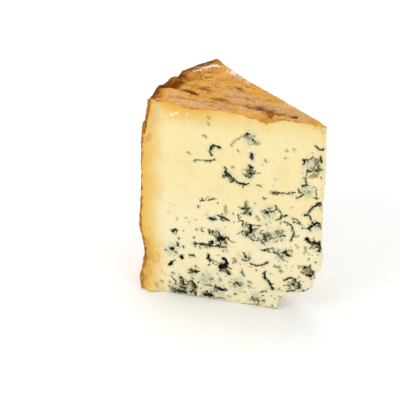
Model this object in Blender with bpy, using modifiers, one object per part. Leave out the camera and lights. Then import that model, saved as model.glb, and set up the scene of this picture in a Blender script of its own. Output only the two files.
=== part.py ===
"""A wedge of blue-veined cheese, cut from the upper half of a tall round cheese.

The wheel's axis is the wedge's tip. Seen from the front, the tip is on the right and the
rind is on the left and on top. The two upright sides and the underside are knife cuts.
The lower corner of the tip has crumbled away.
"""

from math import pi, radians, sin, tan

import bmesh
import bpy
import numpy as np
from mathutils import Vector

# The wheel, in metres, with z = 0 at the cut underside
HEIGHT = 0.1186
TOP_RADIUS = 0.100
TOP_SAG = 0.0012
SIDE_HEIGHTS = (0.0, 0.008, 0.024, 0.042, 0.060, 0.098, 0.104, 0.108, HEIGHT)
SIDE_RADII = (0.1040, 0.1052, 0.1022, 0.1058, 0.1046, 0.1042, 0.1032, 0.1010, TOP_RADIUS)

# The cuts
WEDGE_ANGLE = radians(37)
CUT_REACH = 0.2
OFFCUT = 0.03

# The crumbled corner, measured along the tip and along the underside
TOE_HEIGHT = 0.033
TOE_DEPTH = 0.026
TOE_BLOCK = 0.08
TOE_CHIP = 0.0035
TOE_CHIP_SIZE = 0.009

# The rind's waves
RIND_WAVE = 0.0012
RIND_WAVE_SIZE = 0.026

# How finely the surfaces are divided
TURN_STEPS = 240
SIDE_ROWS = 48
TOP_ROWS = 26
TOE_DIVISIONS = 18

PASTE_COLOUR = (0.905, 0.745, 0.400, 1.0)
PASTE_ROUGHNESS = 0.55
WELD_DISTANCE = 0.00001


def clear_scene():
    for old in list(bpy.data.objects):
        bpy.data.objects.remove(old, do_unlink=True)


def new_collection(name):
    collection = bpy.data.collections.new(name)
    bpy.context.scene.collection.children.link(collection)
    return collection


def paste_material():
    material = bpy.data.materials.new("cheese_paste")
    material.use_nodes = True
    shader = material.node_tree.nodes["Principled BSDF"]
    shader.inputs["Base Color"].default_value = PASTE_COLOUR
    shader.inputs["Roughness"].default_value = PASTE_ROUGHNESS
    shader.inputs["Metallic"].default_value = 0.0
    material.diffuse_color = PASTE_COLOUR
    return material


def cloud_texture(name, size):
    texture = bpy.data.textures.new(name, "CLOUDS")
    texture.noise_scale = size
    texture.noise_depth = 2
    return texture


def wheel_outline():
    """Points (radius, height) from the axis at the bottom, up the side and in over the top."""
    heights = np.linspace(0, HEIGHT, SIDE_ROWS + 1)
    radii = np.interp(heights, SIDE_HEIGHTS, SIDE_RADII)
    side = list(zip(radii, heights))
    below = [(0.0, -OFFCUT), (SIDE_RADII[0], -OFFCUT)]
    top = []
    for row in range(1, TOP_ROWS + 1):
        inward = row / TOP_ROWS
        top.append((TOP_RADIUS * (1 - inward), HEIGHT - TOP_SAG * sin(pi * inward)))
    return below + side + top


def object_from_bmesh(name, mesh_data, collection):
    mesh = bpy.data.meshes.new(name)
    mesh_data.to_mesh(mesh)
    mesh_data.free()
    made = bpy.data.objects.new(name, mesh)
    collection.objects.link(made)
    return made


def turned_wheel(name, collection):
    """The whole wheel, turned from its outline and given a wavy rind."""
    outline = bmesh.new()
    points = [outline.verts.new((radius, 0, height)) for radius, height in wheel_outline()]
    for first, second in zip(points, points[1:]):
        outline.edges.new((first, second))
    wheel = object_from_bmesh(name, outline, collection)

    turning = wheel.modifiers.new("turning", "SCREW")
    turning.axis = "Z"
    turning.angle = 2 * pi
    turning.steps = TURN_STEPS
    turning.render_steps = TURN_STEPS
    turning.use_merge_vertices = True
    turning.merge_threshold = WELD_DISTANCE
    turning.use_normal_calculate = True

    waves = wheel.modifiers.new("rind_waves", "DISPLACE")
    waves.texture = cloud_texture("rind_waves", RIND_WAVE_SIZE)
    waves.texture_coords = "LOCAL"
    waves.strength = 2 * RIND_WAVE
    waves.mid_level = 0.5
    return wheel


def sector_cutter(collection):
    """A prism that keeps the wedge: its upright edge is the tip and its front face is the front cut."""
    prism = bmesh.new()
    corners = (
        (0, 0, 0),
        (-CUT_REACH, CUT_REACH * tan(WEDGE_ANGLE), 0),
        (-CUT_REACH, 0, 0),
    )
    base = prism.faces.new([prism.verts.new(corner) for corner in corners])
    raised = bmesh.ops.extrude_face_region(prism, geom=[base])["geom"]
    raised_corners = [item for item in raised if isinstance(item, bmesh.types.BMVert)]
    bmesh.ops.translate(prism, verts=raised_corners, vec=(0, 0, CUT_REACH))
    bmesh.ops.recalc_face_normals(prism, faces=prism.faces)
    return object_from_bmesh("sector_cutter", prism, collection)


def toe_cutter(collection):
    """A rough block that takes the crumbled lower corner off the tip."""
    block = bmesh.new()
    bmesh.ops.create_cube(block, size=TOE_BLOCK)
    bmesh.ops.subdivide_edges(block, edges=block.edges, cuts=TOE_DIVISIONS, use_grid_fill=True)
    cutter = object_from_bmesh("toe_cutter", block, collection)
    slope = Vector((TOE_DEPTH, 0, TOE_HEIGHT))
    outward = Vector((TOE_HEIGHT, 0, -TOE_DEPTH)).normalized()
    middle = Vector((-TOE_DEPTH, 0, 0)) + slope / 2
    cutter.location = middle + outward * TOE_BLOCK / 2
    cutter.rotation_euler = outward.to_track_quat("X", "Z").to_euler()

    chips = cutter.modifiers.new("chips", "DISPLACE")
    chips.texture = cloud_texture("chips", TOE_CHIP_SIZE)
    chips.texture_coords = "LOCAL"
    chips.strength = 2 * TOE_CHIP
    chips.mid_level = 0.5
    return cutter


def cut(part, cutter, operation):
    knife = part.modifiers.new(cutter.name, "BOOLEAN")
    knife.operation = operation
    knife.solver = "EXACT"
    knife.object = cutter
    cutter.hide_render = True
    cutter.display_type = "WIRE"


def centre_on_base(part, frame):
    """Moves the whole assembly so that the part's box stands centred on the origin."""
    bpy.context.view_layer.update()
    graph = bpy.context.evaluated_depsgraph_get()
    corners = np.array(part.evaluated_get(graph).bound_box)
    low = corners.min(axis=0)
    high = corners.max(axis=0)
    frame.location = (-(low[0] + high[0]) / 2, -(low[1] + high[1]) / 2, -low[2])


def cheese_wedge():
    parts = new_collection("blue_cheese_wedge")
    cutters = new_collection("cutters")
    cutters.hide_render = True
    frame = bpy.data.objects.new("wheel_axis", None)
    parts.objects.link(frame)

    wedge = turned_wheel("cheese_wedge", parts)
    wedge.data.materials.append(paste_material())
    sector = sector_cutter(cutters)
    toe = toe_cutter(cutters)
    cut(wedge, sector, "INTERSECT")
    cut(wedge, toe, "DIFFERENCE")
    for piece in (wedge, sector, toe):
        piece.parent = frame
    centre_on_base(wedge, frame)


clear_scene()
cheese_wedge()
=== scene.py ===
"""The look of the cheese wedge: a finely divided closed mesh with a procedural material.

The wedge is modelled in the wheel's own frame: the tip is the axis x = 0, y = 0, the front cut
is the plane y = 0 and the rind end is at -x. The last step moves it onto the CAD solid.
Places on the surface are given in millimetres as "along" (from the tip), "across" (from the
front cut) and "up" (from the underside).
"""

from itertools import product
from math import cos, pi, radians, sin

import bmesh
import bpy
import numpy as np
from mathutils import Matrix, Vector

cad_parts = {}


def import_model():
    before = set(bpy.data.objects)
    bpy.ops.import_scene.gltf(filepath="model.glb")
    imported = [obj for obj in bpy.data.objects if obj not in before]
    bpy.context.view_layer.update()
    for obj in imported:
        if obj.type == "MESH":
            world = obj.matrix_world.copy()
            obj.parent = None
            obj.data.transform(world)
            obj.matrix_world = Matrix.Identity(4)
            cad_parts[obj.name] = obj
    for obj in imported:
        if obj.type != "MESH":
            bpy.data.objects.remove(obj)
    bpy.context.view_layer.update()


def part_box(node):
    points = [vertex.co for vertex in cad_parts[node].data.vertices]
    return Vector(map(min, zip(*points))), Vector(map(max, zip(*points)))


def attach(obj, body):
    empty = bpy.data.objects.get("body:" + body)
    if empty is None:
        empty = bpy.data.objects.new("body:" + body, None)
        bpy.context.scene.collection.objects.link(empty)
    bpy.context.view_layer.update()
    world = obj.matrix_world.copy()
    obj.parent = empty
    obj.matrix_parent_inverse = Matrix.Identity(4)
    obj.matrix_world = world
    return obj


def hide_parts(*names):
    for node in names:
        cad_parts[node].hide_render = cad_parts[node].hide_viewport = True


MM = 0.001

# The wheel and its cuts, in metres: its height above the cut base, its radius on top and at
# heights down its side, and the radius of the arc at its rim. The rind end bulges a little more
# than the CAD part's.
HEIGHT = 0.1186
TOP_RADIUS = 0.100
SIDE_HEIGHTS = (0.0, 0.008, 0.024, 0.042, 0.060, 0.098, 0.104, 0.108, HEIGHT)
SIDE_RADII = (0.1046, 0.1057, 0.1026, 0.1058, 0.1046, 0.1036, 0.1025, 0.1006, TOP_RADIUS)
WEDGE_ANGLE = radians(37)
SHOULDER = 0.003

# How far the tip is worn or broken back from the wheel's axis, in mm, at heights up the tip
TIP_HEIGHTS = (
    0, 6.5, 8, 10.5, 12.2, 13.2, 14.4, 17, 19, 21.4, 26.3,
    28.5, 30, 34, 40, 45, 50, 60, 72, 75, 88,
)
TIP_RECESS = (
    23.8, 23.6, 22.4, 19.6, 16, 10.6, 7.6, 4.8, 3.6, 3.2, 2.6,
    1.2, 0.2, 0, 0.6, 1.6, 1.2, 0.9, 1, 0.4, 0,
)

# How far the tip's edge is from the wheel's axis where it isn't worn, in metres
TIP_BLUNT = 0.0004

# How much deeper and how much taller the broken toe is at the back cut than at the front one
TOE_UNDERCUT = 0.64
TOE_STRETCH = 0.9

# Rows of the mesh, bottom to top: a share of them and the share of the height that they reach.
# They are closer together along the toe's overhang.
ROW_SHARES = (0, 0.04, 0.3, 1)
ROW_HEIGHTS = (0, 0.05, 0.23, 1)

# How far the crumbs along the tip stand out past the axis, in mm, at heights up the tip
CRUMB_HEIGHTS = (0, 20, 26, 36, 41, 47, 60, 75, 100, 118)
CRUMB_GROWTH = (0, 0.2, 0.6, 1.5, 2.5, 1.9, 1.5, 1.6, 1.6, 1.4)

# How far the rind's front edge sags below the flat top, in mm, at distances from the tip
SAG_ALONG = (0, 8, 24, 29, 33, 37, 43, 54, 63, 75, 84, 92, 104)
SAG = (0.6, 0.3, 0.2, 1.4, 2.8, 2.0, 1.1, 0.4, 0.2, 0.6, 0.0, -1.4, -1.4)

# How far the rind's foot stands out of the front cut, in mm
FOOT = 3.2

# Cells along the wedge, across it and up it. The front, the top and the rind end have two for
# each of these.
CELLS = (100, 34, 114)

# How near to 0 or 1 a vertex of the box is when it lies on that side of it
ON_SIDE = 0.0001

# The dark mould veins that cross the front cut, each as its half width and then the points that
# it passes, along and up, in mm
VEINS = (
    (0.75, 63.1, 90.8, 63.5, 94, 63.3, 96.2, 62.3, 96.9, 60.5, 96.3, 58.4, 95.7),
    (0.45, 72.4, 86.8, 69.1, 86.6, 64.1, 87.5, 60.6, 88.2),
    (0.80, 55.3, 84, 55, 81.5, 53.2, 80.3, 51.8, 79.4),
    (0.70, 56.5, 79.2, 53.7, 79.4, 52.3, 77.9, 49.5, 76.9, 46.7, 75.9, 44.6, 75.6, 42.3, 75.9),
    (0.80, 43.2, 106.9, 42.9, 106.4),
    (0.50, 48.8, 95.9, 47.3, 94.8),
    (0.90, 40.1, 94.6, 40, 91.6),
    (0.65, 40.6, 88, 41.4, 84.6, 40.5, 81.8),
    (0.50, 44.5, 84.9, 42.5, 84.2),
    (0.45, 37, 76.4, 34.9, 76.2),
    (0.40, 38.5, 103.2, 38.1, 102),
    (0.45, 22.2, 94.9, 20.8, 94.9),
    (0.55, 28.3, 73, 25.6, 73.2, 20.4, 73.6, 15.8, 75),
    (0.60, 33.8, 68.9, 32.5, 68.1),
    (0.70, 4.8, 105, 2.6, 103.6, 0.2, 103.2),
    (0.45, 6.2, 100.3, 5.8, 99.7),
    (0.80, 1.6, 98.6, 1.5, 95.6),
    (0.45, 5, 98.2, 4, 97, 2.5, 96.4),
    (0.90, 11.3, 95.8, 10.6, 94.6, 10.9, 93),
    (0.60, 10.2, 96, 8.7, 96),
    (0.60, 8.7, 90, 9.4, 87, 10, 83.8, 9.2, 81),
    (0.70, 11.8, 80.6, 10, 80.4, 8.5, 80.3),
    (0.50, 8, 89.7, 5.2, 89.4, 6, 88.1, 3.1, 87.7),
    (0.60, 2.4, 93.5, 2.5, 91.6, 0.2, 91.2),
    (0.50, 1.9, 86.6, 1, 85.4),
    (0.50, 13.3, 79, 13.8, 76.5, 12.2, 74, 14, 71.8),
    (0.70, 14.2, 71.7, 12.6, 73.2, 11, 74.4),
    (0.40, 3.9, 79.4, 3.5, 79.1),
    (0.70, 46.2, 60.3, 43.6, 61, 41.4, 60.8),
    (0.60, 43.3, 63.5, 43.3, 60, 44.3, 57.4),
    (0.40, 47.5, 55.6, 47.6, 53.4),
    (0.30, 47.2, 53.5, 44.2, 51, 40.4, 50.8, 36, 51.3, 34.5, 52),
    (1.10, 40.4, 50.8, 40, 48, 40.8, 46),
    (0.60, 42.4, 43.6, 40.5, 42.6, 38.8, 41.4),
    (0.45, 39, 44.5, 36, 42.4, 33, 41, 31, 43.4),
    (0.45, 37.5, 49.6, 35.6, 49.3),
    (0.50, 22.6, 50.6, 21.8, 49.8),
    (0.60, 23.2, 47, 21, 47.5),
    (0.70, 32.6, 61.6, 31.5, 60.6, 30.3, 60.2),
    (0.50, 33.3, 59.4, 31.5, 60.4, 30.3, 58.8),
    (0.40, 29.2, 63.5, 28.7, 63.2),
    (0.60, 26.3, 65.3, 25.4, 63, 23.6, 62, 22.5, 60.3, 23.9, 57.6, 26, 56.6),
    (0.40, 22.5, 60.3, 19.6, 59.6),
    (0.65, 16.6, 58.5, 14.4, 58.8, 12.9, 57.2),
    (0.35, 11.8, 56.5, 11.2, 55.8),
    (0.66, 21.2, 56.2, 18.7, 55.6, 16.9, 53.5, 16, 50.5, 16.4, 47.4, 17.6, 44.9),
    (0.40, 16, 48.5, 14.5, 48),
    (0.50, 4.4, 80, 3.8, 76, 3.4, 73, 2.9, 70.5),
    (0.60, 3.4, 70.2, 1.6, 68.6, 0.2, 67),
    (0.85, 9.9, 61.9, 8.2, 62.5, 7.1, 65, 5.3, 67.5, 4, 68.2, 2.9, 70.4, 0, 70, -0.3, 67.5),
    (0.75, 7.6, 62.3, 6.4, 60.4, 5.4, 58.4),
    (0.55, 11.2, 54, 9, 54.1),
    (1.00, 8.2, 53.8, 6.6, 54.8, 5.3, 56.9, 2.9, 58.4, 0.9, 57.6, 0, 55.8),
    (0.60, 7.2, 53.2, 6, 53),
    (1.00, 8.2, 47.6, 6.6, 45.6, 4.4, 45.8, 2.1, 45),
    (1.00, 1.4, 46, 1.1, 43.5, 1, 41.4),
    (0.70, 34.5, 36.7, 32.2, 36.4, 30, 37.4),
    (0.35, 30, 37.4, 26.6, 38.4),
    (0.50, 30, 35.3, 27.5, 35.8, 25.1, 35.7, 22.3, 34.2),
    (0.90, 20.4, 37.5, 19.8, 36.2, 18.4, 35.6),
    (0.50, 18.7, 35.8, 16.9, 34.8),
    (0.45, 24, 34.5, 22, 32, 20.3, 32.6),
    (0.65, 44.8, 32.9, 43.8, 31.3, 42.4, 29.9, 40.6, 29.4),
    (0.60, 43.4, 29, 43.2, 27.6),
    (0.60, 40.8, 27.2, 38.4, 26.1, 35.9, 26.2, 33.3, 27.7, 30.1, 29),
    (0.40, 46.6, 26, 46, 25.4),
    (0.70, 31.4, 23.2, 31.8, 20.6),
    (1.10, 31.9, 19.3, 31.4, 18.5),
    (0.80, 31.4, 18.5, 29.9, 17.3, 28.9, 15.2),
    (1.00, 28.2, 14.2, 27.4, 12.6),
    (0.60, 45.1, 21.3, 44.6, 19.5, 43.8, 18),
    (0.90, 48, 13.2, 47.6, 12.2),
    (0.50, 49.2, 10.4, 47.8, 10.6),
    (1.70, 57.4, 21.6, 56, 22.2, 54.8, 22.4),
    (1.20, 55.6, 27.2, 54.6, 25.6, 54.1, 24),
    (0.80, 55.2, 20.6, 53.6, 19, 52.8, 17.6),
    (0.40, 57.6, 27.4, 56, 28),
    (1.00, 64.9, 28.2, 64.8, 25.5, 64.2, 25),
    (0.40, 63, 25.3, 60.6, 24.4, 58.4, 23.6),
    (0.70, 65.1, 9.2, 62.2, 8.5, 58.6, 7.1, 54.3, 7.3),
    (0.90, 64.2, 3.2, 61.8, 2.2),
    (0.70, 58.4, 2, 55.5, 1.6),
    (0.60, 52.4, 3.3, 51.8, 3.2),
    (0.55, 40.2, 3.8, 36.5, 4, 32.8, 4.2),
    (1.00, 6.2, 24.8, 4.6, 23.2, 3.8, 21.2),
    (0.65, 10, 28, 9, 29.6, 7, 30, 5, 29, 4.6, 26.4, 6, 24.6, 8.6, 24.8),
    (0.70, 19.9, 19.4, 18.3, 21.2, 16.5, 21.8, 14.4, 20.8, 13, 18.2, 12.6, 15.8),
    (0.80, 12.6, 15.9, 13.7, 14.2),
    (0.50, 13.7, 14.2, 16.5, 13.4, 19, 13),
    (0.60, 10.7, 26.2, 10.2, 25.4),
    (0.40, 22, 12.7, 21.6, 12.3),
    (0.40, 28, 8.5, 27.7, 8.1),
    (0.70, 82, 35.9, 81.9, 35.3),
    (0.70, 83.1, 33.2, 82.4, 31),
    (0.60, 79.6, 31.2, 79.2, 30.6),
    (0.90, 86.6, 28.8, 85.6, 28.2),
    (0.50, 84.6, 27.4, 83, 25.6),
    (1.20, 81, 24, 80.3, 23.8),
    (0.50, 80.2, 25.6, 79.8, 24.9),
    (0.60, 76.4, 26.4, 74.2, 26.3, 72.4, 26),
    (1.30, 87.1, 18.6, 86.4, 19.6),
    (0.50, 85.8, 20.3, 84.3, 20.8),
    (0.70, 75.2, 17.2, 74, 15.6, 72.4, 15.8, 70, 16.6),
    (1.00, 73.2, 16.2, 72, 16.1),
    (0.50, 75.9, 14.8, 75.3, 14.6),
    (1.00, 81.6, 11.1, 80.2, 10.6),
    (0.80, 79.8, 9.4, 79.8, 7, 79.6, 5.4),
    (0.50, 88, 7, 87.4, 6.4),
    (1.00, 74.5, 9.8, 73, 8, 72, 6),
    (0.80, 82, 1.6, 79.5, 2.2, 77, 1.8),
    (0.80, 75, 2.4, 72, 1.6),
    (1.00, 67.6, 2.6, 65.4, 2.2, 62.6, 2.5),
    (0.60, 69.7, 32.5, 69.3, 31.9),
    (0.80, 73.5, 33.3, 68.4, 34.4, 63.2, 34, 58.8, 34.7, 54.7, 34.8),
    (0.90, 64, 36.9, 62.6, 36.2),
    (1.00, 58.6, 40.6, 56.6, 38.8, 54.9, 40.4),
    (0.90, 59.7, 43.7, 58.5, 41.9, 56.8, 40.2),
    (0.70, 56.8, 38.8, 54.6, 38),
    (0.60, 64.7, 43.8, 64.5, 41.8),
    (0.50, 68.5, 42.9, 68, 42.4),
    (0.40, 73.1, 38.5, 72.6, 38.2),
    (0.90, 85.4, 39.8, 84.8, 40.4),
    (0.70, 83.6, 40.9, 83, 40.6),
    (0.90, 64.1, 51.7, 62.4, 51.1, 60.6, 51.6),
    (0.80, 59.5, 54.2, 57.8, 53.4, 56, 52.8, 53.2, 51.9),
    (0.60, 57, 52.6, 56.7, 50.8),
    (0.45, 69.5, 61.2, 66.9, 62.2, 64.7, 62.9, 60.4, 64.2),
    (0.35, 76.5, 90.3, 74.5, 90.1),
    (0.50, 0.4, 113.6, -0.4, 112.6),
)

# Paler olive-green mould, in the same form
SMUDGES = (
    (1.2, 43, 64.5, 43.3, 58),
    (0.9, 51.2, 85.1, 50.6, 84.9),
    (0.8, 37, 56.9, 36.2, 55.2),
    (1.4, 30.9, 47, 29, 45),
    (1.2, 25.1, 49, 23, 48.4),
    (0.7, 14, 43, 13.4, 41.2),
    (0.8, 9, 42, 8.8, 40.2),
    (0.8, 18.9, 39.2, 16.5, 38.6),
    (1.0, 49.5, 28, 49, 26.8),
    (0.9, 26.6, 27.8, 23.6, 27.4),
    (1.0, 22.6, 25, 22.2, 24.4),
    (2.4, 7.6, 27.4, 6.4, 26.8),
    (0.8, 55.2, 60.3, 54.6, 57.4),
    (0.7, 12, 29.6, 10, 29.6),
    (1.0, 58, 14, 57.6, 12.8),
    (0.8, 41, 14.9, 40.2, 14.6),
    (0.8, 92.6, 6.9, 92, 6.5),
    (1.0, 63.6, 43.2, 61, 42.6),
    (0.8, 67, 33, 65.6, 33),
    (0.5, 44, 106, 47, 104, 50, 101, 52, 98.4),
    (0.5, 42, 106, 40, 104, 38, 101),
    (0.9, 44.4, 104.4, 42.2, 104),
    (0.9, 38.2, 102, 36.6, 101.6),
    (0.7, 32.4, 92.2, 31.4, 91.2),
    (0.6, 20.6, 100, 20, 99.8),
    (0.6, 16.7, 101.2, 16.3, 100.9),
    (0.6, 68.2, 102, 65.8, 101.2),
    (0.9, 28.6, 72.8, 25.8, 73.2),
    (0.5, 64.8, 113.4, 64.2, 113),
    (0.4, 65.4, 110.6, 64.8, 109),
    (1.2, 81, 9, 79.6, 5),
    (1.2, 75, 9, 73, 5),
    (0.8, 86, 4, 84, 2.4),
    (1.2, 59, 41, 56, 39),
    (1.0, 57, 20, 53, 19),
    (1.0, 16, 19, 13, 16),
    (1.4, 6, 91, 3, 90),
    (1.0, 5, 97, 3, 94),
    (0.9, 7, 86, 4, 87),
    (1.0, 54, 80.6, 52, 78.6),
    (1.3, 41.6, 85, 41, 81.4),
    (0.9, 42.6, 50.2, 38, 48),
)

# Patches of the front cut that are crowded with fine mould: radius, along, up, number of threads
CLUSTERS = (
    (4.5, 80, 6, 25),
    (4.0, 74, 6, 16),
    (3.5, 84, 2.5, 14),
    (3.5, 66, 2.5, 7),
    (5.0, 60, 6, 8),
    (3.2, 73, 16, 7),
    (4.5, 57, 39, 18),
    (3.0, 60, 42, 6),
    (3.4, 56, 22, 7),
    (3.0, 42, 60, 8),
    (4.5, 41, 46, 18),
    (4.5, 33, 44, 9),
    (4.5, 26, 47, 9),
    (4.0, 23, 35, 9),
    (3.5, 43, 30, 6),
    (4.5, 15, 17, 10),
    (3.2, 4, 26, 7),
    (3.0, 4, 44, 9),
    (3.0, 4, 57, 3),
    (5.0, 5, 93, 7),
    (4.0, 9, 77, 4),
    (3.5, 54, 80, 8),
    (3.5, 41, 83, 8),
    (4.0, 41, 104, 4),
    (4.0, 30, 60, 3),
    (4.0, 48, 12, 4),
    (5.0, 66, 12, 4),
    (4.0, 37, 5, 4),
    (4.0, 86, 28, 4),
)

# By how many mm the half width of a vein is drawn thinner than listed, the thinnest that it gets,
# how far apart the twigs are that grow from it, and how long each step of a twig is
VEIN_THINNING = 0.27
VEIN_THINNEST = 0.22
TWIG_SPACING = 1.5
TWIG_STEP = 0.9

# How far from a vein the paste shows its haze, in mm
VEIN_REACH = 3.0

# How many veins are scattered over the back cut, where none are drawn one by one, and how long
# each step of them is in mm. The underside has half as many and the broken toe a third.
SCATTERED_VEINS = 190
SCATTERED_STEP = 2

# How many dots of mould the front cut has, and how far they go along it and up it, in mm
SPECKS = 190
SPECKS_ALONG = 90
SPECKS_UP = 108

# The rind on top: its main crease, smaller folds, flour, dark patches, pale bare patches, bruises,
# weakly shaded patches, and the hole beside the tip with its pale lip. Each is a width and then
# points along and across, in mm.
CREASE = (1.1, 100, 11, 92, 16, 84, 18, 74, 14, 60, 11, 44, 8, 30, 7)
FOLDS = (
    (0.6, 90, 6.5, 80, 8.5, 72, 7.2, 62, 6.8, 55, 4.2),
    (0.5, 84, 12.5, 74, 10, 64, 9.6, 56, 6.4),
    (0.5, 70, 4.4, 60, 3.6, 50, 2.6),
    (0.8, 98, 20, 92, 24, 86, 24.5),
    (0.6, 93, 27, 87, 31, 80, 35, 74, 42),
    (0.5, 66, 20, 58, 18, 50, 19, 44, 16),
    (0.5, 76, 31, 68, 28, 60, 27),
    (0.5, 40, 14, 34, 12, 28, 12.4),
    (0.5, 60, 38, 54, 33, 47, 31),
    (0.5, 86, 44, 80, 43, 73, 47),
)
FLOUR_LINES = (
    (1.4, 86, 40, 83, 43),
    (1.6, 82, 46, 76, 52),
    (2.2, 69, 48, 60, 42),
    (1.0, 56, 40, 54, 38),
)
# The first two dark patches are painted shade, in the crevice between the lobes and beside the
# crease; the last two darken the rim.
DARK_PATCHES = (
    (4.2, 99, 12, 95, 16, 92, 20, 90, 25),
    (2.4, 92, 18, 84, 19, 76, 15),
    (2.4, 96, 36, 90, 46, 84, 54),
    (2.6, 99, 3, 97, 9),
)
PALE_PATCHES = (
    (9.0, 56, 20, 45, 13, 34, 12, 24, 9),
    (2.4, 89, 9, 86, 10),
    (5.0, 86, 4, 70, 4, 58, 4),
    (4.0, 20, 9, 12, 5),
)
BRUISES = (
    (4.0, 38, 9, 30, 5),
    (2.6, 30, 2, 26, 8),
)
SHADED_PATCHES = (
    (5.0, 80, 26, 70, 21),
    (5.0, 90, 34, 82, 36),
    (4.0, 92, 40, 84, 50, 76, 56),
    (3.0, 62, 30, 56, 29),
    (2.6, 64, 15, 58, 12),
)
# The hole is sunk into the rind and painted black in its middle, as shade.
HOLE = (1.5, 25, 3.6, 22.6, 4.6, 20.4, 4.2, 18, 4.8)
HOLE_LIP = (
    (1.2, 29, 6, 24, 8.2, 17, 7.6, 13, 5.6),
    (1.0, 28, 1.6, 21, 1.4, 15, 1.8),
)

# Brown stains and grey bloom on the front cut near the rind, in the same form as the veins
STAINS = (
    (0.6, 98, 23, 96, 25, 94, 23, 94.5, 19.5, 97, 18, 98.3, 20.5, 98, 23),
    (3.0, 102, 6, 101, 16, 102, 24, 103, 30),
    (0.5, 97, 29, 96, 27),
    (0.6, 93, 15, 92, 13),
    (0.5, 99, 36, 98, 33),
    (0.8, 99.5, 14, 99, 13.4),
    (0.8, 67, 14.2, 66, 13.4),
    (0.5, 100.5, 40, 99.5, 38),
    (0.5, 100, 31, 98.8, 29.4),
    (1.2, 99, 97, 99.4, 93),
    (0.4, 100, 62, 99.2, 61),
    (0.4, 92, 33, 91, 32),
    (0.4, 90, 12, 89.4, 10.6),
    (0.9, 4.4, 116.6, 2.4, 115.6),
    (0.9, 96, 4, 94, 3, 91, 2.2),
)
BLOOM = (
    (1.4, 95, 115.6, 94.4, 112, 95.4, 108),
    (1.0, 97.6, 107, 98.4, 101),
)

# Where the rind hangs over the front cut or is thick beside it, in the same form
DRIPS = (
    (2.0, 35, 117, 31.5, 115, 28, 117),
    (1.7, 99, 118, 99.6, 112, 101.4, 106, 103.4, 98),
    (1.1, 105, 52, 105.8, 42, 104, 32),
    (1.5, 102.6, 26, 103, 18, 105, 10, 105.2, 4),
)

# White crumbs on the front cut, in the same form
CRUMBS = (
    (0.9, 87, 112.4, 85.6, 112),
    (0.7, 84, 113.6, 82, 113.2),
    (0.6, 81, 112, 80.6, 111.2),
    (0.5, 78, 114, 77, 113.6),
    (0.6, 96, 24, 95, 22),
    (0.5, 90, 8, 89, 7),
    (0.5, 84, 33, 83.4, 32),
)

# Colours, as linear red, green and blue
CREAM = (0.95, 0.79, 0.39)
PALE_CREAM = (0.95, 0.82, 0.45)
IVORY = (0.95, 0.85, 0.57)
BUTTER = (0.84, 0.53, 0.088)
AMBER = (0.82, 0.42, 0.045)
BLUE_GREY = (0.60, 0.62, 0.43)
OLIVE = (0.21, 0.18, 0.05)
PEACH = (0.93, 0.70, 0.36)
BLOOM_GREY = (0.66, 0.56, 0.36)
FRECKLE = (0.50, 0.34, 0.09)
CRUMB_WHITE = (0.96, 0.88, 0.66)
STAIN_BROWN = (0.60, 0.30, 0.07)
VEIN_EDGE = (0.13, 0.125, 0.045)
# Black: the cores of the veins, and painted shade in the hole in the rind
VEIN_CORE_AND_HOLE_SHADE = (0.004, 0.005, 0.003)
TAN = (0.86, 0.43, 0.075)
OCHRE = (0.76, 0.36, 0.04)
BROWN = (0.27, 0.09, 0.012)
ROSE_GREY = (0.68, 0.42, 0.21)
# Russet: the darkest rind on top, partly painted shade in the crevice and creases, partly the dark
# rim
RUSSET = (0.17, 0.03, 0.002)
CRUST = (0.52, 0.22, 0.03)
FLOUR = (0.85, 0.80, 0.72)

# How light spreads inside the cheese: its share, the parts of the scale that red, green and blue
# go, and the scale, in metres
SPREAD_SHARE = 0.15
SPREAD_COLOURS = (1.0, 0.6, 0.25)
SPREAD_SCALE = 0.002

# The floor and the light of the world around it
FLOOR_SIZE = 8.0
FLOOR_WHITE = (0.94, 0.94, 0.94)
FLOOR_ROUGHNESS = 0.9
WORLD_WHITE = (1, 1, 1, 1)
WORLD_LIGHT = 0.72

# The lamps: each one's name, its place from the tip and its width, in metres, and its power, in
# watts. They aim at one point, which is also given from the tip.
LAMPS = (
    ("key_light", (-0.55, -0.9, 0.9), 0.7, 3.9),
    ("fill_light", (0.9, -0.7, 0.5), 0.8, 1.5),
    ("overhead_light", (-0.2, 0.3, 1.3), 1.0, 6.0),
)
LAMP_AIM = (-0.05, 0.02, 0.05)

# The camera: angles in degrees, distance and aim from the tip in metres, and lens in mm
CAMERA_AZIMUTH = 17.6
CAMERA_ELEVATION = 27.7
CAMERA_DISTANCE = 1.3
CAMERA_LENS = 208.2
CAMERA_AIM = (-0.076, 0.02, 0.051)
CAMERA_NEAR = 0.05


# ---------------------------------------------------------------- numbers


def smooth(value, low, high):
    """0 at low, 1 at high, and an eased step between them. low may be the larger."""
    share = np.clip((value - low) / (high - low), 0, 1)
    return share * share * (3 - 2 * share)


def bell(value, middle, width):
    """1 at the middle, and down to nearly 0 at two widths from it."""
    return np.exp(-(((value - middle) / width) ** 2))


def noise(points, size, seed):
    """Smooth random values from -1 to 1 that change over a distance of size."""
    side = 64
    table = np.random.default_rng(seed).uniform(-1, 1, (side, side, side))
    scaled = points / size + 1000
    cell = np.floor(scaled).astype(int)
    part = scaled - cell
    part = part * part * (3 - 2 * part)
    total = np.zeros(len(points))
    for corner in product((0, 1), repeat=3):
        weight = np.prod(np.where(corner, part, 1 - part), axis=1)
        x, y, z = ((cell + corner) % side).T
        total += weight * table[x, y, z]
    return total


def fractal(points, size, seed, octaves=3):
    """Noise with finer, weaker noise on it."""
    return sum(noise(points, size / 2**n, seed + n) / 2**n for n in range(octaves))


# ---------------------------------------------------------------- the wedge's shape


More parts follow.
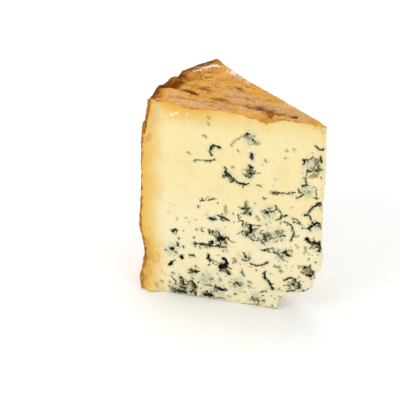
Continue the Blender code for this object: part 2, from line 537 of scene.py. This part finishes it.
def lattice_box():
    """A closed box from 0 to 1 along each side, with finer cells on its front, top and rind end."""
    along, across, up = CELLS
    box = bmesh.new()
    upright = Matrix.Rotation(radians(90), 4, "X")
    sideways = Matrix.Rotation(radians(90), 4, "Z") @ upright
    flat = Matrix.Identity(4)
    sides = (
        (along, up, upright, Vector((0, 0.5, 0))),
        (across, up, sideways, Vector((0.5, 0, 0))),
        (along, across, flat, Vector((0, 0, 0.5))),
    )
    middle = Vector((0.5, 0.5, 0.5))
    for columns, rows, turn, offset in sides:
        for way in (-1, 1):
            place = Matrix.Translation(middle + way * offset) @ turn
            bmesh.ops.create_grid(box, x_segments=columns, y_segments=rows, size=0.5, matrix=place)
    bmesh.ops.remove_doubles(box, verts=box.verts, dist=0.0005)
    front = [face for face in box.faces if all(vert.co.y < ON_SIDE for vert in face.verts)]
    top = [face for face in box.faces if all(vert.co.z > 1 - ON_SIDE for vert in face.verts)]
    rind = [face for face in box.faces if all(vert.co.x < ON_SIDE for vert in face.verts)]
    edges = {edge for face in front + top + rind for edge in face.edges}
    bmesh.ops.subdivide_edges(box, edges=list(edges), cuts=1, use_grid_fill=True)
    bmesh.ops.recalc_face_normals(box, faces=box.faces)
    return box


def rounded_shoulder(radius, height, on_side, on_top):
    """Turns the rim, where side and top meet, into an arc."""
    turn = pi / 4
    side_share = np.clip((HEIGHT - height) / SHOULDER, 0, 1)
    top_share = np.clip((TOP_RADIUS - radius) / SHOULDER, 0, 1)
    middle_r = TOP_RADIUS - SHOULDER
    middle_h = HEIGHT - SHOULDER
    side_angle = turn * (1 - side_share)
    top_angle = turn * (1 + top_share)
    side_near = on_side & (side_share < 1)
    top_near = on_top & (top_share < 1)
    pulled_in = radius + middle_r + SHOULDER * np.cos(side_angle) - TOP_RADIUS
    new_radius = np.where(side_near, pulled_in, radius)
    new_height = np.where(side_near, middle_h + SHOULDER * np.sin(side_angle), height)
    new_radius = np.where(top_near, middle_r + SHOULDER * np.cos(top_angle), new_radius)
    new_height = np.where(top_near, middle_h + SHOULDER * np.sin(top_angle), new_height)
    return new_radius, new_height


def shaped(uvw, sides):
    """The smooth wedge: box coordinates turned into places in the wheel's frame."""
    u, v, w = uvw.T
    angle = WEDGE_ANGLE * v
    height = HEIGHT * np.interp(w, ROW_SHARES, ROW_HEIGHTS)
    outer = np.interp(height, SIDE_HEIGHTS, SIDE_RADII)
    recess = np.interp(height / MM, TIP_HEIGHTS, TIP_RECESS)
    stretched = np.interp(height / MM / (1 + TOE_STRETCH * v), TIP_HEIGHTS, TIP_RECESS)
    recess = np.maximum(recess, stretched)
    tip = TIP_BLUNT + MM * (1 + TOE_UNDERCUT * v) * recess
    radius = outer * (1 - u) + tip * u
    radius, height = rounded_shoulder(radius, height, sides["rind"], sides["top"])
    places = np.column_stack((radius * np.cos(angle), radius * np.sin(angle), height))
    along, across = places.T[:2] / MM
    places[:, 0] -= MM * np.interp(height / MM, CRUMB_HEIGHTS, CRUMB_GROWTH) * smooth(along, 14, 0)
    places[:, 2] += MM * top_rise(along, across) * smooth(height / HEIGHT, 0.8, 1)
    return places * (-1, 1, 1)


def top_rise(along, across):
    """How far the rind on top stands above flat, in mm."""
    radius = np.hypot(along, across)
    edge = -np.interp(along, SAG_ALONG, SAG) * smooth(across, 7, 0.5)
    front_lobe = 2.2 * bell(along, 94, 9) * bell(across, 11, 6) * smooth(across, 1, 8)
    crevice = -1.8 * bell(along, 88, 5) * bell(across, 19, 2.5)
    outer_lobe = 1.7 * bell(radius, 101, 5) * bell(across, 18, 4.5)
    middle_lobe = 2.6 * bell(along, 94, 6) * bell(across, 26, 5)
    notch = -0.8 * bell(radius, 97, 5) * bell(across, 33.5, 2)
    back_lobe = 2.5 * bell(radius, 98, 7) * smooth(across, 31, 38)
    back_edge = 1.3 * bell(along, 68, 9) * smooth(radius * WEDGE_ANGLE - across, 10, 2)
    worn_tip = -0.8 * smooth(radius, 16, 2)
    lobes = front_lobe + outer_lobe + middle_lobe + back_lobe
    return edge + lobes + crevice + notch + back_edge + worn_tip


# ---------------------------------------------------------------- the veins


def vein_distance(places, points):
    """The distance from each place to a vein's line through its points."""
    nearest = np.full(len(places), np.inf)
    for start, end in zip(points, points[1:]):
        run = end - start
        share = np.clip((places - start) @ run / max(run @ run, 1e-9), 0, 1)
        nearest = np.minimum(nearest, np.linalg.norm(places - start - share[:, None] * run, axis=1))
    return nearest


def vein_fields(places, veins):
    """For each place: how far inside a vein it is, in mm, below 0 outside it, and how near a vein
    it is, from 1 to 0 over the veins' reach."""
    inside = np.full(len(places), -VEIN_REACH)
    nearness = np.zeros(len(places))
    for vein in veins:
        half_width = vein[0]
        points = np.array(vein[1:]).reshape(-1, 2)
        low = points.min(axis=0) - VEIN_REACH
        high = points.max(axis=0) + VEIN_REACH
        near = np.flatnonzero(((places > low) & (places < high)).all(axis=1))
        distance = vein_distance(places[near], points)
        inside[near] = np.maximum(inside[near], half_width - distance)
        glow = min(1.6 * half_width, 1.0) * smooth(distance, VEIN_REACH, 0)
        nearness[near] = np.maximum(nearness[near], glow)
    return inside, nearness


def thread(random, half_width, start, heading, steps, length):
    """A crooked vein of some steps, each about as long as length, in the form of the lists."""
    along, up = start
    vein = [half_width, along, up]
    for _ in range(steps):
        heading += random.normal(0, 0.6)
        step = random.uniform(0.5, 1.3) * length
        along += step * cos(heading)
        up += 0.8 * step * sin(heading)
        vein += [along, up]
    return tuple(vein)


def branched(veins, seed):
    """The veins, thinned, and twigs that grow from their sides."""
    random = np.random.default_rng(seed)
    grown = []
    for vein in veins:
        half_width = max(vein[0] - VEIN_THINNING, VEIN_THINNEST)
        points = np.array(vein[1:]).reshape(-1, 2)
        grown.append((half_width, *vein[1:]))
        for start, end in zip(points, points[1:]):
            run = end - start
            for _ in range(random.poisson(np.hypot(*run) / TWIG_SPACING)):
                root = start + random.uniform(0, 1) * run
                turn = random.choice((-1, 1)) * random.uniform(0.6, 2.2)
                heading = np.arctan2(run[1], run[0]) + turn
                width = min(half_width, 0.4) * random.uniform(0.3, 0.75)
                steps = random.integers(1, 4)
                grown.append(thread(random, width, root, heading, steps, TWIG_STEP))
    return grown


def clustered(clusters, seed):
    """Fine threads crowded together in patches."""
    random = np.random.default_rng(seed)
    threads = []
    for radius, along, up, number in clusters:
        for _ in range(number):
            start = random.normal((along, up), radius / 2)
            width = random.uniform(0.08, 0.34)
            heading = random.uniform(0, 2 * pi)
            steps = random.integers(1, 5)
            threads.append(thread(random, width, start, heading, steps, TWIG_STEP))
    return threads


def scattered_veins(seed, count, low, high):
    """Short crooked veins at random between two corners, more of them lower down and towards the
    tip, and their twigs."""
    random = np.random.default_rng(seed)
    veins = []
    while len(veins) < count:
        along = random.uniform(low[0], high[0])
        up = random.uniform(low[1], high[1])
        crowding = 1.15 - 0.75 * up / (HEIGHT / MM) - 0.55 * along / (TOP_RADIUS / MM)
        if random.uniform() > crowding:
            continue
        width = random.uniform(0.35, 1.1)
        heading = random.uniform(0, 2 * pi)
        steps = random.integers(1, 6)
        veins.append(thread(random, width, (along, up), heading, steps, SCATTERED_STEP))
    return branched(veins, seed + 1)


def specks(seed, count):
    """Dots of mould, mostly in the lower and tip-side half of the front cut."""
    random = np.random.default_rng(seed)
    dots = []
    while len(dots) < count:
        along = random.uniform(1, SPECKS_ALONG)
        up = random.uniform(1, SPECKS_UP)
        crowding = 1.0 - 0.9 * up / SPECKS_UP - 0.45 * along / SPECKS_ALONG
        if random.uniform() > crowding:
            continue
        half_width = random.uniform(0.12, 0.36)
        end = (along + random.uniform(-0.6, 0.6), up + random.uniform(-0.4, 0.4))
        dots.append((half_width, along, up, *end))
    return dots


def swept(places, lines):
    """1 on any of the lines and 0 well away from them, each as wide as its first number."""
    share = np.zeros(len(places))
    for line in lines:
        distance = vein_distance(places, np.array(line[1:]).reshape(-1, 2))
        share = np.maximum(share, bell(distance, 0, line[0]))
    return share


# ---------------------------------------------------------------- relief and masks


def sides_of(uvw):
    """Which vertices lie on each side of the box."""
    u, v, w = uvw.T
    return {
        "rind": u < ON_SIDE,
        "tip": u > 1 - ON_SIDE,
        "front": v < ON_SIDE,
        "back": v > 1 - ON_SIDE,
        "under": w < ON_SIDE,
        "top": w > 1 - ON_SIDE,
    }


def all_vein_fields(flat, sides):
    """How deep inside a vein and how near to one each place on a cut is, and how deep inside an
    olive smudge each place on the front cut is."""
    count = len(flat)
    ragged = flat + 0.4 * np.column_stack([fractal(flat, 1.6, seed, 2) for seed in (11, 12, 13)])
    along, across, up = ragged.T
    front_places = np.column_stack((along, up))
    out_along = np.hypot(along, across)
    back_places = np.column_stack((out_along, up))
    under_places = np.column_stack((along, across))

    depth = np.full(count, -VEIN_REACH)
    nearness = np.zeros(count)
    front_veins = branched(VEINS, 7) + clustered(CLUSTERS, 9) + specks(5, SPECKS)
    back_veins = scattered_veins(23, SCATTERED_VEINS, (0, 0), (92, 105))
    under_veins = scattered_veins(31, SCATTERED_VEINS // 2, (20, 0), (92, 60))
    toe_veins = scattered_veins(37, SCATTERED_VEINS // 3, (0, -50), (30, 20))
    broken = sides["tip"] & ~sides["front"] & ~sides["back"]
    for chosen, places, veins in (
        (sides["front"], front_places, front_veins),
        (broken, np.column_stack((across, up - along)), toe_veins),
        (sides["back"], back_places, back_veins),
        (sides["under"], under_places, under_veins),
    ):
        index = np.flatnonzero(chosen)
        found, near = vein_fields(places[index], veins)
        depth[index] = np.maximum(depth[index], found)
        nearness[index] = np.maximum(nearness[index], near)
    smudge = np.full(count, -VEIN_REACH)
    index = np.flatnonzero(sides["front"])
    for radius, middle_along, middle_up, _ in CLUSTERS:
        away = np.hypot(along[index] - middle_along, up[index] - middle_up)
        nearness[index] = np.maximum(nearness[index], bell(away, 0, 1.2 * radius))
    smudge[index] = vein_fields(front_places[index], SMUDGES)[0]
    return depth, nearness, smudge


def relief(places, sides, masks):
    """How far each vertex moves out along its normal, in mm."""
    along, across, up = places.T
    radius = np.hypot(along, across)
    cut = sides["front"] | sides["back"]
    move = np.zeros(len(places))

    from_cut = np.minimum(across, radius * np.sin(WEDGE_ANGLE - np.arctan2(across, along)))
    grown = 0.35 + 0.65 * smooth(from_cut, 1, 9)
    lumps = 0.9 * fractal(places, 15, 41) * grown + 0.5 * fractal(places * (1, 1, 1.6), 5, 42)
    pits = -0.8 * smooth(noise(places, 3.2, 43), 0.3, 0.8)
    rough_rind = lumps + pits + 0.25 * fractal(places, 1.8, 44, 2)
    move += np.where(sides["rind"], rough_rind, 0)

    flat = wandering(places)
    streaked = places * (0.35, 1.0, 1.0) + 3 * noise(places, 20, 51)[:, None] * (0, 1, 0)
    wrinkles = 0.5 * fractal(streaked, 5, 52, 3) + 0.5 * fractal(places, 16, 53, 2)
    crease = 0.9 * swept(flat - (0, 1.8), (CREASE,)) - 1.5 * swept(flat, (CREASE,))
    crease += 0.7 * swept(flat + (0, 3.2), ((2.4, *CREASE[1:]),))
    folds = 0.5 * swept(flat - (0, 1.2), FOLDS) - 0.8 * swept(flat, FOLDS)
    hole = 0.8 * swept(flat, HOLE_LIP) - 3.4 * hole_share(places, flat)
    rough_top = wrinkles * (0.3 + 0.7 * smooth(from_cut, 0, 4)) + crease + folds + hole
    rough_top += 0.25 * noise(places, 1.5, 54)
    move += np.where(sides["top"] & ~sides["rind"], rough_top, 0)

    uneven = 0.22 * noise(places, 24, 61) + 0.07 * noise(places, 5, 62)
    crumbly = masks["nearness"] * 0.5 * (fractal(places, 1.8, 63, 2) - 0.3)
    crumbly += 0.5 * masks["crumb"] + 0.25 * masks["stain"] * noise(places, 1.6, 65)
    hollow = -0.7 * smooth(masks["vein"] + 0.2 * noise(places, 1.1, 64), -0.15, 0.5)
    move += np.where(cut, uneven + crumbly + hollow, 0)
    foot = bell(along, 98, 4.2) * smooth(up, 5, 1)
    move += np.where(sides["front"], FOOT * foot, 0)

    crumbs = 0.45 * fractal(places, 2, 75, 2) * smooth(along, 8, 1) * smooth(up, 60, 110)
    move += np.where(sides["front"] | sides["top"], crumbs, 0)

    broken = 0.8 * fractal(places, 5, 71) * (0.25 + 0.75 * smooth(up, 42, 30))
    broken += 0.45 * fractal(places, 1.7, 72, 2)
    move += np.where(sides["tip"], broken, 0)
    return move


def chipped_edges(places, sides):
    """How far the vertices beside a knife-cut edge crumble inwards, in mm."""
    along, across, up = places.T
    tip_gap = np.abs(along - np.interp(up, TIP_HEIGHTS, TIP_RECESS))
    to_edge = np.minimum(np.where(sides["front"] | sides["tip"], tip_gap, 9), up)
    chips = smooth(fractal(places, 2.2, 81, 2), -0.1, 0.7)
    crumbs = 0.5 * noise(places, 1.7, 84) * smooth(tip_gap, 1.6, 0)
    return (crumbs - 0.6 * chips * smooth(to_edge, 1.6, 0)) * ~sides["under"]


def wandering(places):
    """Places on top, along and across, shifted a little so that lines there run unevenly."""
    shift = np.column_stack([fractal(places, 6, seed, 2) for seed in (57, 58)])
    return places[:, :2] + 0.8 * shift


def hole_share(places, flat):
    """1 in the middle of the ragged hole in the rind, 0 away from it."""
    ragged = flat + 0.7 * np.column_stack([noise(places, 1.6, seed) for seed in (93, 94)])
    return swept(ragged, (HOLE,)) * (0.8 + 0.3 * noise(places, 2.5, 95))


def rind_patches(places, sides):
    """How white with flour, how dark and how pale each place is. The top follows the lists. The
    rind end is a little dark all over, and the cuts are dark beside it and paler low down."""
    flat = wandering(places)
    radius = np.hypot(*flat.T)
    on_top = sides["top"]
    high = smooth(places[:, 2], 112, 117)
    flour = swept(flat, FLOUR_LINES) * (0.75 + 0.35 * noise(places, 4, 91))
    # Painted shade: the rind is darkened along the sunk crease and folds.
    lines = np.maximum(swept(flat, (CREASE,)), 0.7 * swept(flat, FOLDS))
    dark = np.maximum(0.8 * lines, swept(flat, DARK_PATCHES))
    dark = np.maximum(dark, 0.85 * smooth(radius, 89, 98))
    dark = np.maximum(dark, 0.55 * swept(flat, SHADED_PATCHES))
    dark = np.maximum(dark, 0.75 * swept(flat, BRUISES))
    lip = swept(flat, HOLE_LIP)
    # Painted shade: the hole's dark mask goes well above 1, so its middle turns black.
    dark = np.maximum(dark * (1 - lip), 2.3 * hole_share(places, flat))
    bare = np.maximum(swept(flat, PALE_PATCHES), lip)
    below = smooth(places[:, 2], 75, 40) * smooth(skin_distance(places), 5, 14)
    pale = np.where(on_top, bare, below)
    on_cuts = 0.55 * smooth(radius, 90, 98)
    dark = np.where(on_top | sides["rind"], np.maximum(dark * high, 0.3 * ~on_top), on_cuts)
    return flour * on_top, dark, pale


def skin_distance(places):
    """How deep a place lies below the rind, in mm."""
    along, across, up = places.T
    radius = np.hypot(along, across)
    outer = np.interp(up * MM, SIDE_HEIGHTS, SIDE_RADII) / MM
    from_side = outer - radius - 0.6 - 1.0 * smooth(up, 45, 25)
    from_top = HEIGHT / MM + top_rise(along, across) - up
    return np.minimum(from_side, from_top)


def wedge_mesh():
    """The whole visual mesh in the wheel's frame, and the masks that its material reads."""
    box = lattice_box()
    mesh = bpy.data.meshes.new("cheese")
    box.to_mesh(mesh)
    box.free()
    count = len(mesh.vertices)
    uvw = np.empty(3 * count)
    mesh.vertices.foreach_get("co", uvw)
    uvw = uvw.reshape(-1, 3)
    sides = sides_of(uvw)
    base = shaped(uvw, sides)
    mesh.vertices.foreach_set("co", base.ravel())
    mesh.update()
    normals = np.empty(3 * count)
    mesh.vertices.foreach_get("normal", normals)
    normals = normals.reshape(-1, 3)

    places = base / MM * (-1, 1, 1)
    masks = {}
    masks["vein"], masks["nearness"], masks["smudge"] = all_vein_fields(places, sides)
    masks["skin"] = np.clip(skin_distance(places), 0, 40)
    wavering = places[:, ::2] + np.column_stack([fractal(places, 3, seed, 2) for seed in (59, 60)])
    drips = swept(wavering, DRIPS) * sides["front"]
    masks["rind"] = np.maximum(drips, sides["rind"] | sides["top"])
    masks["flour"], masks["dark"], masks["pale"] = rind_patches(places, sides)
    ripe = 0.3 + 0.7 * np.maximum(smooth(places[:, 2], 60, 25), smooth(places[:, 2], 104, 115))
    masks["yellow"] = 0.35 + 0.65 * smooth(places[:, 0], 38, 75)
    masks["ripe"] = ripe * masks["yellow"]
    masks["stain"] = swept(wavering, STAINS) * sides["front"]
    masks["bloom"] = swept(wavering, BLOOM) * sides["front"]
    masks["crumb"] = swept(wavering, CRUMBS) * sides["front"]

    move = relief(places, sides, masks) + chipped_edges(places, sides)
    # Painted shade and highlight: the rind is darkened where its surface sinks in, and the rind end
    # is paler where it bulges out.
    masks["dark"] = np.maximum(masks["dark"], 0.65 * smooth(move, -0.2, -1.6) * masks["rind"])
    masks["pale"] = np.maximum(masks["pale"], 0.7 * smooth(move, 0.3, 1.5) * sides["rind"])
    final = base + normals * (move * MM)[:, None]
    crumbled = (0.9 + 0.6 * noise(places, 3, 83)) * smooth(places[:, 0], 95, 85)
    lifted = MM * crumbled * sides["front"]
    final[:, 2] = np.where(sides["under"], lifted, np.maximum(final[:, 2], 0))
    mesh.vertices.foreach_set("co", final.ravel())
    soften(mesh, sides)
    for name, values in masks.items():
        mask = mesh.attributes.new(name, "FLOAT", "POINT")
        mask.data.foreach_set("value", values.astype(np.float32))
    mesh.shade_smooth()
    mesh.update()
    return mesh


def soften(mesh, sides):
    """Rounds the edges between the sides a little, as soft cheese and rind wear."""
    box = bmesh.new()
    box.from_mesh(mesh)
    shared = sum(side.astype(int) for side in sides.values()) > 1
    box.verts.ensure_lookup_table()
    edge_verts = [box.verts[index] for index in np.flatnonzero(shared & ~sides["tip"])]
    for _ in range(2):
        bmesh.ops.smooth_vert(
            box, verts=edge_verts, factor=0.5, use_axis_x=True, use_axis_y=True, use_axis_z=True
        )
    for vert in box.verts:
        vert.co.z = max(vert.co.z, 0)
    box.to_mesh(mesh)
    box.free()


# ---------------------------------------------------------------- material


class Shader:
    """Adds nodes to a material and joins them."""

    def __init__(self, name):
        self.material = bpy.data.materials.new(name)
        self.material.use_nodes = True
        self.tree = self.material.node_tree
        self.surface = self.tree.nodes["Principled BSDF"]
        self.place = self.tree.nodes.new("ShaderNodeTexCoord").outputs["Object"]

    def join(self, value, socket):
        if isinstance(value, bpy.types.NodeSocket):
            self.tree.links.new(value, socket)
        elif isinstance(value, tuple) and len(value) == 3 and socket.type == "RGBA":
            socket.default_value = (*value, 1)
        else:
            socket.default_value = value

    def mask(self, name):
        node = self.tree.nodes.new("ShaderNodeAttribute")
        node.attribute_name = name
        return node.outputs["Fac"]

    def math(self, operation, first, second=0.0, third=0.0):
        node = self.tree.nodes.new("ShaderNodeMath")
        node.operation = operation
        for socket, value in zip(node.inputs, (first, second, third)):
            self.join(value, socket)
        return node.outputs[0]

    def centred(self, value, span):
        """A value from 0 to 1 turned into one from -span / 2 to span / 2."""
        return self.math("MULTIPLY_ADD", value, span, -span / 2)

    def step(self, value, low, high, to_low=0.0, to_high=1.0):
        """An eased step from to_low, at low, to to_high, at high. low may be the larger."""
        node = self.tree.nodes.new("ShaderNodeMapRange")
        node.interpolation_type = "SMOOTHSTEP"
        names = ("Value", "From Min", "From Max", "To Min", "To Max")
        for name, given in zip(names, (value, low, high, to_low, to_high)):
            self.join(given, node.inputs[name])
        return node.outputs["Result"]

    def noise(self, size, detail=3.0, roughness=0.55, stretch=(1, 1, 1), distortion=0.0):
        """Noise whose features are about size metres across."""
        node = self.tree.nodes.new("ShaderNodeTexNoise")
        turned = self.tree.nodes.new("ShaderNodeMapping")
        self.join(self.place, turned.inputs["Vector"])
        self.join(stretch, turned.inputs["Scale"])
        self.join(turned.outputs["Vector"], node.inputs["Vector"])
        self.join(1 / size, node.inputs["Scale"])
        self.join(detail, node.inputs["Detail"])
        self.join(roughness, node.inputs["Roughness"])
        self.join(distortion, node.inputs["Distortion"])
        return node.outputs["Fac"]

    def blend(self, share, first, second):
        """The first colour where share is 0 and the second where it is 1."""
        node = self.tree.nodes.new("ShaderNodeMixRGB")
        for socket, value in zip(node.inputs, (share, first, second)):
            self.join(value, socket)
        return node.outputs["Color"]

    def tint(self, colour, other, share, strength=1.0):
        """The colour turned to the other, at most by the strength, by the share."""
        return self.blend(self.math("MULTIPLY", share, strength), colour, other)

    def bump(self, height, depth, before=None):
        """A bump as deep as depth metres, on top of the one before."""
        node = self.tree.nodes.new("ShaderNodeBump")
        self.join(height, node.inputs["Height"])
        self.join(depth, node.inputs["Distance"])
        if before:
            self.join(before, node.inputs["Normal"])
        return node.outputs["Normal"]


def paste_colour(shader, fine):
    """The paste's colour, and how far inside a vein it is: cream, yellow to amber under the rind,
    with grey-blue and olive mould and black veins."""
    cloudy = shader.noise(0.022, 2)
    skin = shader.math("ADD", shader.mask("skin"), shader.centred(shader.noise(0.009, 3), -6.0))
    colour = shader.blend(shader.step(cloudy, 0.35, 0.7), CREAM, PALE_CREAM)
    flushed = shader.step(shader.noise(0.009, 2), 0.5, 0.7)
    colour = shader.tint(colour, PEACH, flushed, 0.55)
    colour = shader.tint(colour, IVORY, shader.mask("pale"), 0.7)
    colour = shader.tint(colour, BUTTER, shader.mask("yellow"), shader.step(skin, 15.0, 1.0))
    colour = shader.tint(colour, AMBER, shader.mask("ripe"), shader.step(skin, 4.5, -0.5))

    patchy = shader.noise(0.0036, 5, 0.7)
    dotted = shader.step(shader.noise(0.0022, 2), 0.66, 0.74)
    freckled = shader.math("MULTIPLY", dotted, shader.step(cloudy, 0.45, 0.55))
    colour = shader.tint(colour, FRECKLE, freckled, 0.6)
    bloomed = shader.step(patchy, 0.3, 0.6, 0.0, 0.8)
    colour = shader.tint(colour, BLOOM_GREY, shader.mask("bloom"), bloomed)
    crumb = shader.math("MULTIPLY", shader.mask("crumb"), shader.step(patchy, 0.35, 0.5))
    colour = shader.blend(shader.step(crumb, 0.3, 0.6), colour, CRUMB_WHITE)
    stain = shader.math("MULTIPLY", shader.mask("stain"), shader.step(patchy, 0.35, 0.6))
    colour = shader.tint(colour, STAIN_BROWN, stain, 0.8)
    haze = shader.math("ADD", shader.mask("nearness"), shader.centred(patchy, 2.4))
    haze = shader.math("MULTIPLY", haze, shader.step(shader.mask("nearness"), 0.02, 0.3))
    colour = shader.tint(colour, BLUE_GREY, shader.step(haze, -0.1, 1.1), 0.85)
    grain = shader.noise(0.0011, 3, 0.7)
    peppered = shader.math("MULTIPLY", shader.step(grain, 0.54, 0.66), shader.step(haze, 0.3, 0.9))
    colour = shader.tint(colour, VEIN_EDGE, peppered, 0.75)

    broken = shader.centred(patchy, 1.0)
    smudge = shader.math("ADD", shader.mask("smudge"), shader.centred(grain, 4.0))
    smudge = shader.math("ADD", smudge, broken)
    colour = shader.tint(colour, OLIVE, shader.step(smudge, -0.9, 0.9), 0.85)

    uneven = shader.math("ADD", shader.centred(fine, 2.0), broken)
    vein = shader.math("ADD", shader.mask("vein"), uneven)
    colour = shader.blend(shader.step(vein, -0.32, 0.08), colour, VEIN_EDGE)
    return shader.blend(shader.step(vein, 0.0, 0.3), colour, VEIN_CORE_AND_HOLE_SHADE), vein


def rind_colour(shader):
    """The rind's colour, and how dark it is: mottled orange-brown, streaked along its folds, with
    painted shade in its hollows, creases and crevice, and white flour."""
    broad = shader.noise(0.018, 3, stretch=(0.6, 1, 0.6))
    streaks = shader.noise(0.0045, 5, 0.7, stretch=(0.6, 1, 1), distortion=0.3)
    grain = shader.noise(0.0014, 3, 0.7)
    grainy = shader.centred(grain, 2.4)
    uneven = shader.centred(streaks, -1.6)
    colour = shader.blend(shader.step(broad, 0.35, 0.65), OCHRE, TAN)
    colour = shader.tint(colour, BROWN, shader.step(streaks, 0.56, 0.3), 0.5)
    colour = shader.tint(colour, BROWN, shader.step(grain, 0.5, 0.34), 0.45)
    bare = shader.math("MULTIPLY_ADD", grainy, 0.5, shader.mask("pale"))
    bare = shader.math("MULTIPLY_ADD", uneven, -1.2, bare)
    colour = shader.tint(colour, ROSE_GREY, shader.step(bare, 0.1, 1.3), 0.8)
    dusty = shader.step(shader.noise(0.007, 5, 0.7), 0.5, 0.7)
    colour = shader.tint(colour, ROSE_GREY, dusty, 0.35)
    dark = shader.math("ADD", shader.mask("dark"), shader.math("MULTIPLY_ADD", grainy, 0.3, uneven))
    # The dark mask turns the rind brown, then russet: partly real colour (bruises, brown patches,
    # the rim), partly painted shade in the crevice, crease, folds and hollows.
    colour = shader.tint(colour, BROWN, shader.step(dark, 0.2, 0.8), 0.85)
    colour = shader.tint(colour, RUSSET, shader.step(dark, 0.6, 1.05), 0.9)
    # Painted shade: where the dark mask is highest, chiefly in the hole, the rind turns black, the
    # colour of the veins' cores.
    colour = shader.blend(shader.step(dark, 1.3, 1.8), colour, VEIN_CORE_AND_HOLE_SHADE)
    specks = shader.step(shader.noise(0.0017, 2), 0.67, 0.72)
    colour = shader.tint(colour, FLOUR, specks, shader.step(broad, 0.42, 0.55))
    fine_specks = shader.step(grain, 0.68, 0.74)
    colour = shader.tint(colour, FLOUR, fine_specks, shader.step(broad, 0.5, 0.6))
    flour = shader.math("ADD", shader.mask("flour"), grainy)
    return shader.blend(shader.step(flour, 0.4, 0.8), colour, FLOUR), dark


def cheese_material():
    """Paste on the cuts, rind on the top and the rind end, and a thin crust between them."""
    shader = Shader("cheese_skin_and_paste")
    fine = shader.noise(0.0013, 4, 0.65)
    coarse = shader.noise(0.006, 4, 0.6)
    paste, vein = paste_colour(shader, fine)
    ragged = shader.math("ADD", shader.mask("rind"), shader.centred(fine, 0.8))
    on_rind = shader.step(ragged, 0.35, 0.65)
    skin = shader.math("ADD", shader.mask("skin"), shader.centred(coarse, -6.0))
    skin = shader.math("ADD", skin, shader.centred(fine, -2.0))
    burnt = shader.math("MULTIPLY", shader.step(coarse, 0.45, 0.6), shader.mask("dark"))
    crust_colour = shader.blend(burnt, CRUST, BROWN)
    paste = shader.blend(shader.step(skin, 1.0, 0.2), paste, crust_colour)
    rind, dark = rind_colour(shader)

    surface = shader.surface.inputs
    shader.join(shader.blend(on_rind, paste, rind), surface["Base Color"])
    dull = shader.math("MULTIPLY_ADD", shader.step(vein, 0, 0.4), 0.3, 0.5)
    shader.join(shader.math("MULTIPLY_ADD", on_rind, 0.12, dull), surface["Roughness"])
    shader.join(SPREAD_SHARE, surface["Subsurface Weight"])
    shader.join(SPREAD_COLOURS, surface["Subsurface Radius"])
    shader.join(SPREAD_SCALE, surface["Subsurface Scale"])
    paste_gloss = shader.step(vein, 0.3, -0.3, 0.1, 0.35)
    rind_gloss = shader.step(dark, 0.8, 0.2, 0.03, 0.18)
    more_gloss = shader.math("SUBTRACT", rind_gloss, paste_gloss)
    gloss = shader.math("MULTIPLY_ADD", on_rind, more_gloss, paste_gloss)
    shader.join(gloss, surface["Specular IOR Level"])
    roughened = shader.bump(fine, shader.math("MULTIPLY_ADD", on_rind, 0.0007, 0.0006))
    shader.join(shader.bump(coarse, 0.0010, roughened), surface["Normal"])
    return shader.material


# ---------------------------------------------------------------- the set


def plain_material(name, colour, roughness):
    """A dull material of nearly one colour."""
    shader = Shader(name)
    darker = tuple(0.98 * part for part in colour)
    grainy = shader.blend(shader.noise(0.02, 2), colour, darker)
    shader.join(grainy, shader.surface.inputs["Base Color"])
    shader.join(roughness, shader.surface.inputs["Roughness"])
    return shader.material


def floor():
    """A wide white floor, which belongs to the set and not to the object."""
    bpy.ops.mesh.primitive_plane_add(size=FLOOR_SIZE)
    plane = bpy.context.object
    plane.name = "floor"
    plane.data.materials.append(plain_material("floor_white", FLOOR_WHITE, FLOOR_ROUGHNESS))


def softbox(name, place, aim, size, power):
    """A round lamp that faces its aim."""
    lamp = bpy.data.lights.new(name, "AREA")
    lamp.shape = "DISK"
    lamp.size = size
    lamp.energy = power
    box = bpy.data.objects.new(name, lamp)
    box.location = place
    box.rotation_euler = (aim - place).to_track_quat("-Z", "Y").to_euler()
    bpy.context.scene.collection.objects.link(box)


def studio(tip):
    """White light from all around, and the lamps."""
    world = bpy.data.worlds.new("studio")
    world.use_nodes = True
    background = world.node_tree.nodes["Background"]
    background.inputs["Color"].default_value = WORLD_WHITE
    background.inputs["Strength"].default_value = WORLD_LIGHT
    bpy.context.scene.world = world
    aim = tip + Vector(LAMP_AIM)
    for name, place, size, power in LAMPS:
        softbox(name, tip + Vector(place), aim, size, power)
    bpy.context.scene.view_settings.view_transform = "Standard"


def camera(tip):
    """Looks at the front cut from its tip side and from above, as far off as a product camera."""
    azimuth = radians(CAMERA_AZIMUTH)
    elevation = radians(CAMERA_ELEVATION)
    back = Vector((sin(azimuth) * cos(elevation), -cos(azimuth) * cos(elevation), sin(elevation)))
    lens = bpy.data.cameras.new("camera")
    lens.lens = CAMERA_LENS
    lens.clip_start = CAMERA_NEAR
    viewer = bpy.data.objects.new("camera", lens)
    aim = tip + Vector(CAMERA_AIM)
    viewer.location = aim + CAMERA_DISTANCE * back
    viewer.rotation_euler = (-back).to_track_quat("-Z", "Y").to_euler()
    bpy.context.scene.collection.objects.link(viewer)
    bpy.context.scene.camera = viewer


def main():
    """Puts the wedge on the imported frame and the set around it."""
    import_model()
    low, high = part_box("cheese_wedge")
    tip = Vector((high.x, low.y, 0))

    mesh = wedge_mesh()
    mesh.materials.append(cheese_material())
    wedge = bpy.data.objects.new("blue_cheese", mesh)
    bpy.context.scene.collection.objects.link(wedge)
    wedge.location = tip
    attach(wedge, "root")
    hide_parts("cheese_wedge")

    floor()
    studio(tip)
    camera(tip)


main()
